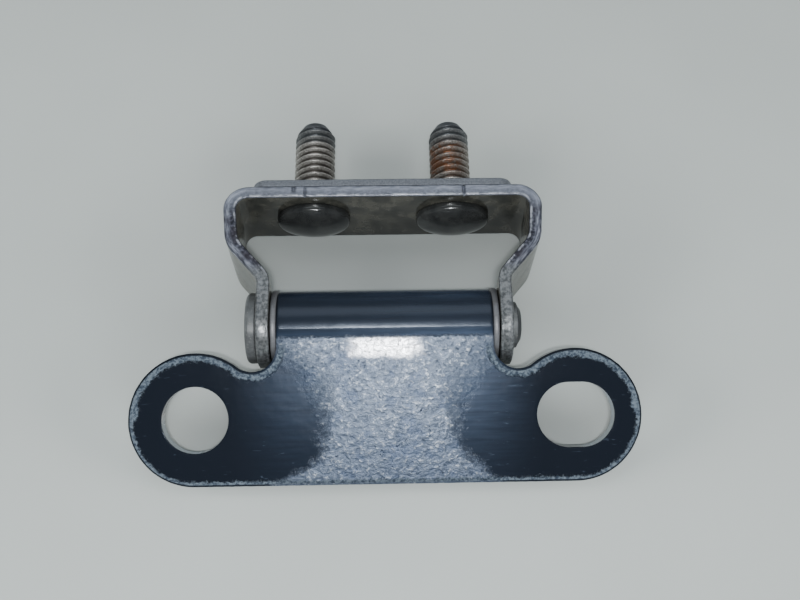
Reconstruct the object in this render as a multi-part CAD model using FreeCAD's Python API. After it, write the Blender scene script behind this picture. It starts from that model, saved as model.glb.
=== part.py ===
import FreeCAD, Part
import math
import os

os.makedirs("parts", exist_ok=True)

# A stamped vehicle hinge, in millimetres.
# X runs along the hinge pin, +Y points from the pin out along the two studs, and +Z points up
# from the surface that the hinge lies on.  The origin is the centre of the mounting face,
# midway between the two stud axes.

# U bracket, bent from one strap
STRAP_THICKNESS = 2.3
STRAP_WIDTH = 15.0
EAR_GAP = 40.4              # between the two ears' inner faces
EAR_RADIUS = 7.2            # round end of each ear, about the pin axis
EAR_TAPER_END = 6.0         # distance from the pin axis where the strap reaches its full width
JOG_START = 7.2             # distance from the pin axis to the first bend of each arm
JOG_END = 14.4              # distance from the pin axis to the second bend
JOG_INNER_HALF = 26.3       # half of the inside width at the second bend
BACK_INNER_HALF = 27.15     # half of the inside width at the back wall
BACK_WALL_REACH = 23.1      # pin axis to the inner face of the back wall
CORNER_BEND = 2.2           # inside radius of the bends beside the back wall
JOG_START_BEND = 2.4        # inside radius of the first bend of each arm
JOG_END_BEND = 5.0          # inside radius of the second bend
EDGE_BREAK = 0.35           # rounding left on the strap's sheared edges

# Spacer plate on the back wall's outer face
SPACER_LENGTH = 48.6
SPACER_THICKNESS = 1.4
SPACER_CORNER = 2.8
SPACER_HOLE_RADIUS = 4.2
SPACER_EDGE_BREAK = 0.25

# 5/16-18 UNC studs pressed into the back wall
STUD_SPACING = 26.4
STUD_SHANK_RADIUS = 4.15
THREAD_RADIUS = 3.93        # outside of a 5/16-18 UNC thread as rolled
STUD_PROJECTION = 16.4      # mounting face to the stud's tip
STUD_POINT_LENGTH = 2.1
STUD_POINT_RADIUS = 2.5
STUD_HEAD_LENGTH = 13.8     # of the oval head, along the strap
STUD_HEAD_WIDTH = 10.4      # of the oval head, across the strap
STUD_HEAD_RIM = 0.8         # height of the upright rim under the dome
STUD_HEAD_ROUND = 1.0       # rounding between the rim and the dome
STUD_DOME_SLOPE = 25.0      # degrees at the dome's outer edge

# Hinge pin, headed on the left and peened over on the right
PIN_RADIUS = 3.0
PIN_HEAD_RADIUS = 6.4
PIN_HEAD_HEIGHT = 2.2
PIN_HEAD_ROUND = 0.9
PEEN_RADIUS = 4.2
PEEN_HEIGHT = 1.95
PEEN_ROUND = 0.8

# Flanged bushes in the leaf's knuckle
BUSH_WALL = 0.95
BUSH_CLEARANCE = 0.05       # radial running clearance on the pin
BUSH_LENGTH = 11.0          # sleeve inside the knuckle
BUSH_FLANGE_RADIUS = 6.75
BUSH_FLANGE_THICKNESS = 1.0
BUSH_FLANGE_BREAK = 0.2

# Leaf, blanked from plate and rolled into a knuckle
LEAF_THICKNESS = 2.5
KNUCKLE_RADIUS = 6.5
KNUCKLE_LENGTH = 38.0
KNUCKLE_SEAM_ANGLE = 150.0  # where the curl stops, counted from the side away from the plate
LOBE_RADIUS = 11.6
LOBE_SPACING = 66.0         # between the two fixing holes
LOBE_REACH = 15.7           # pin axis to the line of the fixing holes, along the leaf
NECK_RADIUS = 4.2           # hollow corner between the knuckle and each lobe
ROUND_HOLE_RADIUS = 5.75
SLOT_WIDTH = 11.3
SLOT_LENGTH = 13.5
LEAF_EDGE_ROUND = 0.45      # die roll round the leaf's upper outline and the knuckle's ends

# Worked out from the sizes above
PIN_TO_MOUNTING_FACE = BACK_WALL_REACH + STRAP_THICKNESS + SPACER_THICKNESS
EAR_INNER = EAR_GAP / 2
EAR_OUTER = EAR_INNER + STRAP_THICKNESS
KNUCKLE_BORE_RADIUS = KNUCKLE_RADIUS - LEAF_THICKNESS
BUSH_BORE_RADIUS = PIN_RADIUS + BUSH_CLEARANCE
LOBE_X = LOBE_SPACING / 2
LEAF_REACH = LOBE_REACH + LOBE_RADIUS
KNUCKLE_HALF = KNUCKLE_LENGTH / 2
# Degrees below level at which the leaf's free edge touches the surface under the strap
LEAF_DROOP = math.degrees(math.atan2(KNUCKLE_BORE_RADIUS, LEAF_REACH)
                          + math.asin(STRAP_WIDTH / 2 / math.hypot(KNUCKLE_BORE_RADIUS, LEAF_REACH)))
PIN_SHIFT = FreeCAD.Vector(0, -PIN_TO_MOUNTING_FACE, 0)
AXIS_X = FreeCAD.Vector(1, 0, 0)
AXIS_Y = FreeCAD.Vector(0, 1, 0)
AXIS_Z = FreeCAD.Vector(0, 0, 1)
ORIGIN = FreeCAD.Vector(0, 0, 0)


def vec(x, y, z=0.0):
    return FreeCAD.Vector(x, y, z)


def offset_path(points, distance):
    """Mitred parallel of an open path, on the path's right-hand side."""
    normals = []
    for start, end in zip(points, points[1:]):
        run = end - start
        normals.append(vec(run.y, -run.x).normalize())
    shifted = [points[0] + normals[0] * distance]
    for point, before, after in zip(points[1:-1], normals, normals[1:]):
        bisector = before + after
        shifted.append(point + bisector * (distance / (1 + before.dot(after))))
    shifted.append(points[-1] + normals[-1] * distance)
    return shifted


def rounded_wire(corners):
    """Closed wire through (point, radius) corners, each rounded by a tangent arc."""
    count = len(corners)
    starts = []
    ends = []
    middles = []
    for index, (point, radius) in enumerate(corners):
        before = (corners[index - 1][0] - point).normalize()
        after = (corners[(index + 1) % count][0] - point).normalize()
        half_angle = before.getAngle(after) / 2
        setback = radius / math.tan(half_angle)
        starts.append(point + before * setback)
        ends.append(point + after * setback)
        to_centre = (before + after).normalize()
        middles.append(point + to_centre * (radius / math.sin(half_angle) - radius))
    edges = []
    for index in range(count):
        if corners[index][1] > 0:
            edges.append(Part.Arc(starts[index], middles[index], ends[index]).toShape())
        next_start = starts[(index + 1) % count]
        edges.append(Part.LineSegment(ends[index], next_start).toShape())
    return Part.Wire(edges)


def revolved_about_x(profile):
    """Solid of revolution about the X axis from (x, radius) edges."""
    return Part.Face(Part.Wire(profile)).revolve(ORIGIN, AXIS_X, 360)


def line(start, end):
    return Part.LineSegment(start, end).toShape()


def arc(start, middle, end):
    return Part.Arc(start, middle, end).toShape()


def cylinder_along(axis, centre, radius, length):
    """Cylinder whose middle is at centre."""
    return Part.makeCylinder(radius, length, centre - axis * (length / 2), axis)


def strap_outline():
    """Plan of the bent strap, pin axis at Y = 0."""
    end = EAR_RADIUS + 1.0
    right = [vec(BACK_INNER_HALF, BACK_WALL_REACH), vec(JOG_INNER_HALF, JOG_END),
             vec(EAR_INNER, JOG_START), vec(EAR_INNER, -end)]
    left = [vec(-point.x, point.y) for point in reversed(right)]
    inner_face = left + right
    outer_face = offset_path(inner_face, -STRAP_THICKNESS)
    grown = STRAP_THICKNESS
    half_inner = [0, JOG_START_BEND + grown, JOG_END_BEND, CORNER_BEND]
    half_outer = [0, JOG_START_BEND, JOG_END_BEND + grown, CORNER_BEND + grown]
    inner = list(zip(inner_face, half_inner + half_inner[::-1]))
    outer = list(zip(outer_face, half_outer + half_outer[::-1]))
    return rounded_wire(inner + outer[::-1])


def strap_side():
    """Side view of the strap in the YZ plane: round ears that widen to the full width."""
    half = STRAP_WIDTH / 2
    far = BACK_WALL_REACH + 2 * STRAP_THICKNESS
    low, high = -EAR_RADIUS, EAR_RADIUS
    edges = [
        arc(vec(0, 0, low), vec(0, -EAR_RADIUS, 0), vec(0, 0, high)),
        line(vec(0, 0, high), vec(0, EAR_TAPER_END, half)),
        line(vec(0, EAR_TAPER_END, half), vec(0, far, half)),
        line(vec(0, far, half), vec(0, far, -half)),
        line(vec(0, far, -half), vec(0, EAR_TAPER_END, -half)),
        line(vec(0, EAR_TAPER_END, -half), vec(0, 0, low)),
    ]
    return Part.Face(Part.Wire(edges))


def sheared_edges(solid, half_width):
    """Edges of the strap's upper and lower sheared faces."""
    return [edge for edge in solid.Edges
            if all(abs(abs(vertex.Z) - half_width) < 1e-4 for vertex in edge.Vertexes)]


def make_bracket():
    blank = Part.Face(strap_outline()).extrude(AXIS_Z * STRAP_WIDTH)
    blank.translate(AXIS_Z * (-STRAP_WIDTH / 2))
    span = 4 * BACK_INNER_HALF
    side = strap_side().extrude(AXIS_X * span)
    side.translate(AXIS_X * (-span / 2))
    strap = blank.common(side).Solids[0]
    strap = strap.makeFillet(EDGE_BREAK, sheared_edges(strap, STRAP_WIDTH / 2))
    strap = strap.cut(cylinder_along(AXIS_X, ORIGIN, PIN_RADIUS, 2 * EAR_OUTER + 2))
    wall_middle = BACK_WALL_REACH + STRAP_THICKNESS / 2
    for side_sign in (-1, 1):
        centre = vec(side_sign * STUD_SPACING / 2, wall_middle)
        strap = strap.cut(cylinder_along(AXIS_Y, centre, STUD_SHANK_RADIUS, 2 * STRAP_THICKNESS))
    strap.translate(PIN_SHIFT)
    return strap.Solids[0]


def make_spacer_plate():
    half_length = SPACER_LENGTH / 2
    half_width = STRAP_WIDTH / 2
    corners = [(vec(x, y), SPACER_CORNER) for x, y in (
        (-half_length, -half_width), (half_length, -half_width),
        (half_length, half_width), (-half_length, half_width))]
    plate = Part.Face(rounded_wire(corners)).extrude(AXIS_Z * SPACER_THICKNESS)
    outer_edges = [edge for edge in plate.Edges
                   if all(abs(vertex.Z - SPACER_THICKNESS) < 1e-6 for vertex in edge.Vertexes)]
    plate = plate.makeFillet(SPACER_EDGE_BREAK, outer_edges)
    plate.rotate(ORIGIN, AXIS_X, -90)
    plate.translate(AXIS_Y * -SPACER_THICKNESS)
    for side_sign in (-1, 1):
        centre = vec(side_sign * STUD_SPACING / 2, 0)
        plate = plate.cut(cylinder_along(AXIS_Y, centre, SPACER_HOLE_RADIUS, 4 * SPACER_THICKNESS))
    return plate.Solids[0]


def make_stud_head(seat):
    """Oval head: an upright rim, a rounded edge and a shallow dome, its seat at X = -seat."""
    radius = STUD_HEAD_LENGTH / 2
    slope = math.radians(STUD_DOME_SLOPE)
    rim = -seat - STUD_HEAD_RIM

    def on_round(angle):
        return vec(rim - STUD_HEAD_ROUND * math.cos(angle),
                   radius - STUD_HEAD_ROUND * (1 - math.sin(angle)))

    edge = on_round(slope)
    dome_radius = edge.y / math.sin(slope)
    top = edge.x - dome_radius * (1 - math.cos(slope))
    dome_middle = vec(top + dome_radius * (1 - math.cos(slope / 2)), dome_radius * math.sin(slope / 2))
    head = revolved_about_x([
        line(vec(-seat, 0), vec(-seat, radius)),
        line(vec(-seat, radius), vec(rim, radius)),
        arc(vec(rim, radius), on_round((slope + math.pi / 2) / 2), edge),
        arc(edge, dome_middle, vec(top, 0)),
        line(vec(top, 0), vec(-seat, 0)),
    ])
    squash = FreeCAD.Matrix()
    squash.scale(1, 1, STUD_HEAD_WIDTH / STUD_HEAD_LENGTH)
    return head.transformGeometry(squash)


def make_stud(side_sign):
    """Oval-headed stud: domed head inside the bracket, thread out past the mounting face."""
    seat = STRAP_THICKNESS + SPACER_THICKNESS
    tip = STUD_PROJECTION
    outline = [
        vec(-seat, 0), vec(-seat, STUD_SHANK_RADIUS), vec(0, STUD_SHANK_RADIUS), vec(0, THREAD_RADIUS),
        vec(tip - STUD_POINT_LENGTH, THREAD_RADIUS), vec(tip, STUD_POINT_RADIUS), vec(tip, 0),
    ]
    shank = revolved_about_x([line(start, outline[(index + 1) % len(outline)])
                              for index, start in enumerate(outline)])
    stud = shank.fuse(make_stud_head(seat)).removeSplitter()
    stud.rotate(ORIGIN, AXIS_Z, 90)
    stud.translate(AXIS_X * (side_sign * STUD_SPACING / 2))
    return stud.Solids[0]


def make_hinge_pin():
    """Pin with a flat head outside the left ear and a peened end outside the right ear."""
    pin = cylinder_along(AXIS_X, ORIGIN, PIN_RADIUS, 2 * EAR_OUTER)
    head = Part.makeCylinder(PIN_HEAD_RADIUS, PIN_HEAD_HEIGHT, vec(-EAR_OUTER, 0), -AXIS_X)
    peen = Part.makeCylinder(PEEN_RADIUS, PEEN_HEIGHT, vec(EAR_OUTER, 0), AXIS_X)
    head = head.makeFillet(PIN_HEAD_ROUND, rim_edges(head, -EAR_OUTER - PIN_HEAD_HEIGHT))
    peen = peen.makeFillet(PEEN_ROUND, rim_edges(peen, EAR_OUTER + PEEN_HEIGHT))
    pin = pin.fuse([head, peen]).removeSplitter()
    pin.translate(PIN_SHIFT)
    return pin.Solids[0]


def rim_edges(solid, x):
    """Circular edges that lie in the plane at x."""
    return [edge for edge in solid.Edges
            if abs(edge.BoundBox.XMin - x) < 1e-6 and abs(edge.BoundBox.XMax - x) < 1e-6]


def make_bush(side_sign):
    """Bush with its sleeve in the knuckle and its flange between the knuckle and an ear."""
    sleeve_radius = BUSH_BORE_RADIUS + BUSH_WALL
    sleeve = Part.makeCylinder(sleeve_radius, BUSH_LENGTH, vec(KNUCKLE_HALF - BUSH_LENGTH, 0), AXIS_X)
    flange = Part.makeCylinder(BUSH_FLANGE_RADIUS, BUSH_FLANGE_THICKNESS, vec(KNUCKLE_HALF, 0), AXIS_X)
    flange = flange.makeFillet(BUSH_FLANGE_BREAK, rim_edges(flange, KNUCKLE_HALF + BUSH_FLANGE_THICKNESS))
    bush = sleeve.fuse(flange).removeSplitter()
    bush = bush.cut(cylinder_along(AXIS_X, ORIGIN, BUSH_BORE_RADIUS, 3 * KNUCKLE_LENGTH))
    if side_sign < 0:
        bush.rotate(ORIGIN, AXIS_Z, 180)
    bush.translate(PIN_SHIFT)
    return bush.Solids[0]


def leaf_outline():
    """Outline of the flat leaf, pin axis at Y = 0 and the free edge towards -Y."""
    neck_x = KNUCKLE_HALF + NECK_RADIUS
    reach = LOBE_RADIUS + NECK_RADIUS
    neck_y = math.sqrt(reach ** 2 - (LOBE_X - neck_x) ** 2) - LOBE_REACH
    lobe = vec(LOBE_X, -LOBE_REACH)
    neck = vec(neck_x, neck_y)
    towards_lobe = (lobe - neck).normalize()
    meeting = neck + towards_lobe * NECK_RADIUS
    towards_side = vec(-1, 0)
    neck_middle = neck + (towards_lobe + towards_side).normalize() * NECK_RADIUS
    half = [
        line(vec(0, 0), vec(KNUCKLE_HALF, 0)),
        line(vec(KNUCKLE_HALF, 0), vec(KNUCKLE_HALF, neck_y)),
        arc(vec(KNUCKLE_HALF, neck_y), neck_middle, meeting),
        arc(meeting, lobe + vec(LOBE_RADIUS, 0), lobe + vec(0, -LOBE_RADIUS)),
        line(lobe + vec(0, -LOBE_RADIUS), vec(0, -LEAF_REACH)),
    ]
    other_half = [edge.mirror(ORIGIN, AXIS_X) for edge in half]
    return Part.Wire(Part.__sortEdges__(half + other_half))


def slot_tool(centre, length, width, height):
    """Upright solid that cuts an oblong hole with round ends, long side along X."""
    radius = width / 2
    straight = length / 2 - radius
    box = Part.makeBox(2 * straight, width, height, centre + vec(-straight, -radius))
    ends = [Part.makeCylinder(radius, height, centre + vec(sign * straight, 0)) for sign in (-1, 1)]
    return box.fuse(ends).removeSplitter()


def make_plate():
    """Flat part of the leaf, its upper face level with the knuckle's top."""
    plate = Part.Face(leaf_outline()).extrude(AXIS_Z * LEAF_THICKNESS)
    plate.translate(AXIS_Z * KNUCKLE_BORE_RADIUS)
    return plate


def make_knuckle():
    """Open curl that runs from the plate's end, round the pin, to just under the plate."""
    def at(radius, degrees):
        angle = math.radians(degrees)
        return vec(0, radius * math.cos(angle), radius * math.sin(angle))

    top = 90.0
    end = KNUCKLE_SEAM_ANGLE - 360.0
    middle = (top + end) / 2
    edges = [
        arc(at(KNUCKLE_RADIUS, top), at(KNUCKLE_RADIUS, middle), at(KNUCKLE_RADIUS, end)),
        line(at(KNUCKLE_RADIUS, end), at(KNUCKLE_BORE_RADIUS, end)),
        arc(at(KNUCKLE_BORE_RADIUS, end), at(KNUCKLE_BORE_RADIUS, middle), at(KNUCKLE_BORE_RADIUS, top)),
        line(at(KNUCKLE_BORE_RADIUS, top), at(KNUCKLE_RADIUS, top)),
    ]
    curl = Part.Face(Part.Wire(edges)).extrude(AXIS_X * KNUCKLE_LENGTH)
    curl.translate(AXIS_X * -KNUCKLE_HALF)
    return curl


def upper_outline(leaf):
    """Edges of the leaf's upper outline, carried on round the knuckle's two ends."""
    edges = []
    for edge in leaf.Edges:
        box = edge.BoundBox
        on_top = abs(box.ZMin - KNUCKLE_RADIUS) < 1e-4 and box.YMin < -0.1
        at_end = box.XLength < 1e-4 and abs(abs(box.XMin) - KNUCKLE_HALF) < 1e-4
        outer = at_end and abs(box.YMax - KNUCKLE_RADIUS) < 1e-4
        if on_top or outer:
            edges.append(edge)
    return edges


def make_leaf():
    leaf = make_plate().fuse(make_knuckle()).removeSplitter().Solids[0]
    leaf = leaf.makeFillet(LEAF_EDGE_ROUND, upper_outline(leaf))
    under = KNUCKLE_BORE_RADIUS
    hole = Part.makeCylinder(ROUND_HOLE_RADIUS, LEAF_THICKNESS, vec(-LOBE_X, -LOBE_REACH, under))
    slot = slot_tool(vec(LOBE_X, -LOBE_REACH, under), SLOT_LENGTH, SLOT_WIDTH, LEAF_THICKNESS)
    leaf = leaf.cut([hole, slot])
    leaf.rotate(ORIGIN, AXIS_X, LEAF_DROOP)
    leaf.translate(PIN_SHIFT)
    return leaf.Solids[0]


def main():
    shapes = {
        "bracket": make_bracket(),
        "spacer_plate": make_spacer_plate(),
        "stud_left": make_stud(-1),
        "stud_right": make_stud(1),
        "hinge_pin": make_hinge_pin(),
        "leaf": make_leaf(),
        "bush_left": make_bush(-1),
        "bush_right": make_bush(1),
    }
    for node, shape in shapes.items():
        box = shape.BoundBox
        print(node, shape.isValid(), len(shape.Solids), round(shape.Volume, 1),
              [round(value, 2) for value in (box.XMin, box.XMax, box.YMin, box.YMax, box.ZMin, box.ZMax)])
        shape.exportStep("parts/" + node + ".step")


main()
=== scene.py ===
import math

import bpy
import numpy as np
from mathutils import Matrix, Vector, noise
from mathutils.geometry import delaunay_2d_cdt
from mathutils.kdtree import KDTree


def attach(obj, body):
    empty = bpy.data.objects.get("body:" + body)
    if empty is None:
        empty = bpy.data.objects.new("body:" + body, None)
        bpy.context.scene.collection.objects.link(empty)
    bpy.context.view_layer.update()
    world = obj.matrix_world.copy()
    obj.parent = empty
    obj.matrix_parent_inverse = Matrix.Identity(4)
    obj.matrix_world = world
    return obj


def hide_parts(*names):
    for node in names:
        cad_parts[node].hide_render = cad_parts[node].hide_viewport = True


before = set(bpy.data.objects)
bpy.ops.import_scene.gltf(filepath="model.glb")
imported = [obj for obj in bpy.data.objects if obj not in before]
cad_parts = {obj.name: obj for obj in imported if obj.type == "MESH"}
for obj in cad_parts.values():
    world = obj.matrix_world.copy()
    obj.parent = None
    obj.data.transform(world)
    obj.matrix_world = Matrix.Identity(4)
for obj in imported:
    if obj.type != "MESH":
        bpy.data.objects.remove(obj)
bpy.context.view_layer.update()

MM = 0.001

# Sizes in millimetres, as in the CAD model. The pin's axis lies at Y = PIN_Y, Z = 0.
PIN_Y = -26.8
STRAP_T = 2.3
STRAP_W = 15.0
EAR_INNER = 20.2
EAR_R = 7.2
EAR_TAPER = 6.0
BACK_REACH = 23.1
BACK_INNER = 27.15
JOG_INNER = 26.3
JOG_START = 7.2
JOG_END = 14.4
JOG_START_BEND = 2.4
JOG_END_BEND = 5.0
CORNER_BEND = 2.2
SPACER_L = 48.6
SPACER_T = 1.4
SPACER_CORNER = 2.8
SPACER_HOLE_R = 4.2
STUD_X = 13.2
SHANK_R = 4.15
THREAD_R = 3.93
THREAD_ROOT_R = 3.07
PITCH = 25.4 / 18
STUD_TIP = 16.4
STUD_HEAD_HALF = 6.9
STUD_HEAD_SQUASH = 10.4 / 13.8
STUD_HEAD_RIM = 0.8
STUD_HEAD_ROUND = 1.0
STUD_DOME_SLOPE = math.radians(25)
PIN_R = 3.0
HEAD_R = 6.4
HEAD_H = 2.2
PEEN_R = 4.2
PEEN_H = 1.95
BUSH_BORE_R = 3.05
BUSH_SLEEVE_R = 4.0
BUSH_FLANGE_R = 6.75
BUSH_FLANGE_T = 1.0
BUSH_L = 11.0
LEAF_T = 2.5
KNUCKLE_R = 6.5
KNUCKLE_HALF = 19.0
CURL_DEG = 300.0
LOBE_R = 11.6
LOBE_X = 33.0
LOBE_D = 15.7
NECK_R = 4.2
HOLE_R = 5.75
SLOT_W = 11.3
SLOT_L = 13.5
LEAF_REACH = LOBE_D + LOBE_R
NEUTRAL_R = KNUCKLE_R - LEAF_T / 2
DROOP = (math.atan2(KNUCKLE_R - LEAF_T, LEAF_REACH)
         + math.asin(STRAP_W / 2 / math.hypot(KNUCKLE_R - LEAF_T, LEAF_REACH)))
FLOOR_Z = -STRAP_W / 2
HOLE_ROUND = 0.1


# ---------------------------------------------------------------- flat outlines

def arc_points(centre, radius, start, end, step=0.3):
    """Points on an arc, angles in degrees, both ends included."""
    count = max(2, int(math.ceil(abs(math.radians(end - start)) * radius / step)) + 1)
    return [(centre[0] + radius * math.cos(math.radians(a)), centre[1] + radius * math.sin(math.radians(a)))
            for a in np.linspace(start, end, count)]


def line_points(start, end, step=0.3):
    count = max(2, int(math.ceil(math.dist(start, end) / step)) + 1)
    return [tuple(p) for p in np.linspace(start, end, count)]


def joined(*runs):
    """One closed loop from runs of points, with repeated points dropped."""
    loop = []
    for run in runs:
        for point in run:
            if not loop or math.dist(loop[-1], point) > 1e-4:
                loop.append(point)
    if math.dist(loop[0], loop[-1]) < 1e-4:
        loop.pop()
    return np.array(loop, float)


def turned(loop, counterclockwise):
    x, y = loop[:, 0], loop[:, 1]
    area = np.sum(x * np.roll(y, -1) - np.roll(x, -1) * y)
    return loop if (area > 0) == counterclockwise else loop[::-1]


def outward(loop):
    """Unit normals on the loop's right-hand side, which is away from the metal."""
    ahead = np.roll(loop, -1, 0) - loop
    behind = loop - np.roll(loop, 1, 0)
    ahead /= np.linalg.norm(ahead, axis=1)[:, None]
    behind /= np.linalg.norm(behind, axis=1)[:, None]
    tangent = ahead + behind
    tangent /= np.linalg.norm(tangent, axis=1)[:, None]
    return np.stack([tangent[:, 1], -tangent[:, 0]], 1)


def inside(points, loop):
    """Which points lie in the closed loop."""
    result = np.zeros(len(points), bool)
    for (x0, y0), (x1, y1) in zip(loop, np.roll(loop, -1, 0)):
        if y0 == y1:
            continue
        crosses = (points[:, 1] > y0) != (points[:, 1] > y1)
        result ^= crosses & (points[:, 0] < (x1 - x0) * (points[:, 1] - y0) / (y1 - y0) + x0)
    return result


def distances(points, loop):
    tree = KDTree(len(loop))
    for index, (x, y) in enumerate(loop):
        tree.insert((x, y, 0), index)
    tree.balance()
    return np.array([tree.find((x, y, 0))[2] for x, y in points])


# ---------------------------------------------------------------- mesh makers

def new_piece(name, vertices, faces, node, body, material, attributes=()):
    """A smooth mesh in the row frame that stands for a CAD node. Vertices are in millimetres."""
    mesh = bpy.data.meshes.new(name)
    mesh.from_pydata([tuple(v) for v in np.asarray(vertices) * MM], [], faces)
    mesh.validate()
    mesh.shade_smooth()
    for key, values in attributes:
        values = np.asarray(values, np.float32)
        kind = "FLOAT_VECTOR" if values.ndim == 2 else "FLOAT"
        layer = mesh.attributes.new(key, kind, "POINT")
        layer.data.foreach_set("vector" if values.ndim == 2 else "value", values.ravel())
    mesh.materials.append(material)
    piece = bpy.data.objects.new(name, mesh)
    bpy.context.scene.collection.objects.link(piece)
    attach(piece, body)
    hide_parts(node)
    return piece


def edge_profile(thickness, round_top, round_low, keep):
    """(inset, height) points down a plate's edge, from its upper face to its lower one."""
    profile = [(keep, thickness / 2)]
    for angle in np.linspace(90, 0, 6):
        a = math.radians(angle)
        profile.append((round_top * (1 - math.cos(a)), thickness / 2 - round_top * (1 - math.sin(a))))
    top, low = thickness / 2 - round_top, -thickness / 2 + round_low
    for share in (0.2, 0.4, 0.6, 0.8):
        profile.append((0.0, top + (low - top) * share))
    for angle in np.linspace(0, 90, 5):
        a = math.radians(angle)
        profile.append((round_low * (1 - math.cos(a)), -thickness / 2 + round_low * (1 - math.sin(a))))
    profile.append((keep, -thickness / 2))
    return profile


def sheet(outer, holes, thickness, round_top, round_low, grid, bend, wall=None):
    """Mesh data of a blanked plate: rounded edges, real holes, and a bend that maps flat to formed.

    Returns vertices, faces, flat coordinates, and distances from the outline and the nearest hole.
    """
    keep = max(round_top, round_low) + 0.3
    loops = [turned(outer, True)] + [turned(h, False) for h in holes]
    flat, edge, rim, faces = [], [], [], []
    first_ring, last_ring = [], []
    for number, loop in enumerate(loops):
        normal = outward(loop)
        size = len(loop)
        start = len(flat)
        profile = edge_profile(thickness, round_top if number == 0 else HOLE_ROUND, round_low, keep)
        for inset, height in profile:
            depth = np.full(size, inset)
            if wall is not None:
                depth = depth + wall(loop, normal, height, inset, number)
            points = loop - normal * depth[:, None]
            flat.extend(np.column_stack([points, np.full(size, height)]))
            edge.extend([inset if number == 0 else -1.0] * size)
            rim.extend([inset if number else -1.0] * size)
        first_ring.append(list(range(start, start + size)))
        last_ring.append(list(range(start + size * (len(profile) - 1), start + size * len(profile))))
        for ring in range(len(profile) - 1):
            a = start + ring * size
            b = a + size
            faces.extend((a + i, b + i, b + (i + 1) % size, a + (i + 1) % size) for i in range(size))

    inner = [loop - outward(loop) * keep for loop in loops]
    low_corner, high_corner = inner[0].min(0), inner[0].max(0)
    rows = np.arange(low_corner[1], high_corner[1], grid * 0.866)
    seeds = []
    for index, y in enumerate(rows):
        xs = np.arange(low_corner[0] + (index % 2) * grid / 2, high_corner[0], grid)
        seeds.append(np.column_stack([xs, np.full(len(xs), y)]))
    seeds = np.concatenate(seeds)
    seeds = seeds[inside(seeds, inner[0])]
    for hole in inner[1:]:
        seeds = seeds[~inside(seeds, hole)]
    for ring in inner:
        seeds = seeds[distances(seeds, ring) > grid * 0.55]
    points = np.concatenate(inner + [seeds])
    constraints, start = [], 0
    for ring in inner:
        size = len(ring)
        constraints.extend((start + i, start + (i + 1) % size) for i in range(size))
        start += size
    made, _, triangles, origins, _, _ = delaunay_2d_cdt(
        [Vector(p) for p in points], constraints, [], 0, 1e-6)
    middle = np.array([np.mean([made[i] for i in t], 0) for t in triangles])
    wanted = inside(middle, inner[0])
    for hole in inner[1:]:
        wanted &= ~inside(middle, hole)
    ring_total = start
    seed_top = len(flat)
    for height in (thickness / 2, -thickness / 2):
        flat.extend(np.column_stack([seeds, np.full(len(seeds), height)]))
        edge.extend([-1.0] * len(seeds))
        rim.extend([-1.0] * len(seeds))
    tops = [i for ring in first_ring for i in ring] + list(range(seed_top, seed_top + len(seeds)))
    lows = [i for ring in last_ring for i in ring] + list(range(seed_top + len(seeds), len(flat)))
    back = [o[0] for o in origins]
    assert len(tops) == ring_total + len(seeds)
    for triangle, use in zip(triangles, wanted):
        if use:
            a, b, c = (back[i] for i in triangle)
            faces.append((tops[a], tops[b], tops[c]))
            faces.append((lows[c], lows[b], lows[a]))

    flat = np.array(flat)
    edge, rim = np.array(edge), np.array(rim)
    unknown = edge < 0
    edge[unknown] = distances(flat[unknown, :2], loops[0])
    unknown = rim < 0
    if len(loops) > 1:
        rim[unknown] = distances(flat[unknown, :2], np.concatenate(loops[1:]))
    else:
        rim[unknown] = 99.0
    return bend(flat), faces, flat, edge, rim


def flipped(faces):
    return [tuple(reversed(face)) for face in faces]


def revolved(profile, segments, wobble=None):
    """Closed solid of revolution about +X from (x, radius) pairs that start and end on the axis."""
    vertices, faces = [], []
    rings = profile[1:-1]
    for x, radius in rings:
        for i in range(segments):
            a = 2 * math.pi * i / segments
            r, shift = wobble(x, radius, a) if wobble else (radius, 0.0)
            vertices.append((x + shift, r * math.cos(a), r * math.sin(a)))
    for ring in range(len(rings) - 1):
        a = ring * segments
        b = a + segments
        faces.extend((a + i, a + (i + 1) % segments, b + (i + 1) % segments, b + i)
                     for i in range(segments))
    first, last = len(vertices), len(vertices) + 1
    vertices += [(profile[0][0], 0, 0), (profile[-1][0], 0, 0)]
    end = (len(rings) - 1) * segments
    for i in range(segments):
        after = (i + 1) % segments
        faces.append((first, after, i))
        faces.append((last, end + i, end + after))
    return np.array(vertices), flipped(faces)


def rounded(corners, steps=6):
    """(x, radius) profile from (x, r, rounding) corners."""
    points = []
    for index, (x, r, rounding) in enumerate(corners):
        here = np.array([x, r])
        if rounding == 0 or index in (0, len(corners) - 1):
            points.append((x, r))
            continue
        before = np.array(corners[index - 1][:2]) - here
        after = np.array(corners[index + 1][:2]) - here
        before /= np.linalg.norm(before)
        after /= np.linalg.norm(after)
        half = math.acos(np.clip(before @ after, -1, 1)) / 2
        setback = rounding / math.tan(half)
        centre = here + (before + after) / np.linalg.norm(before + after) * rounding / math.sin(half)
        u = here + before * setback - centre
        v = here + after * setback - centre
        turn = math.acos(np.clip(u @ v / rounding ** 2, -1, 1))
        for share in np.linspace(0, 1, steps):
            w = (u * math.sin((1 - share) * turn) + v * math.sin(share * turn)) / math.sin(turn)
            points.append(tuple(centre + w))
    return points


def dense(profile, step):
    """The profile with long runs divided."""
    points = [profile[0]]
    for start, end in zip(profile, profile[1:]):
        count = max(1, int(math.ceil(math.dist(start, end) / step)))
        points.extend(tuple(p) for p in np.linspace(start, end, count + 1)[1:])
    return points


# ---------------------------------------------------------------- shader helper

def srgb(red, green, blue):
    def linear(value):
        value /= 255
        return value / 12.92 if value <= 0.04045 else ((value + 0.055) / 1.055) ** 2.4
    return linear(red), linear(green), linear(blue), 1.0


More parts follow.
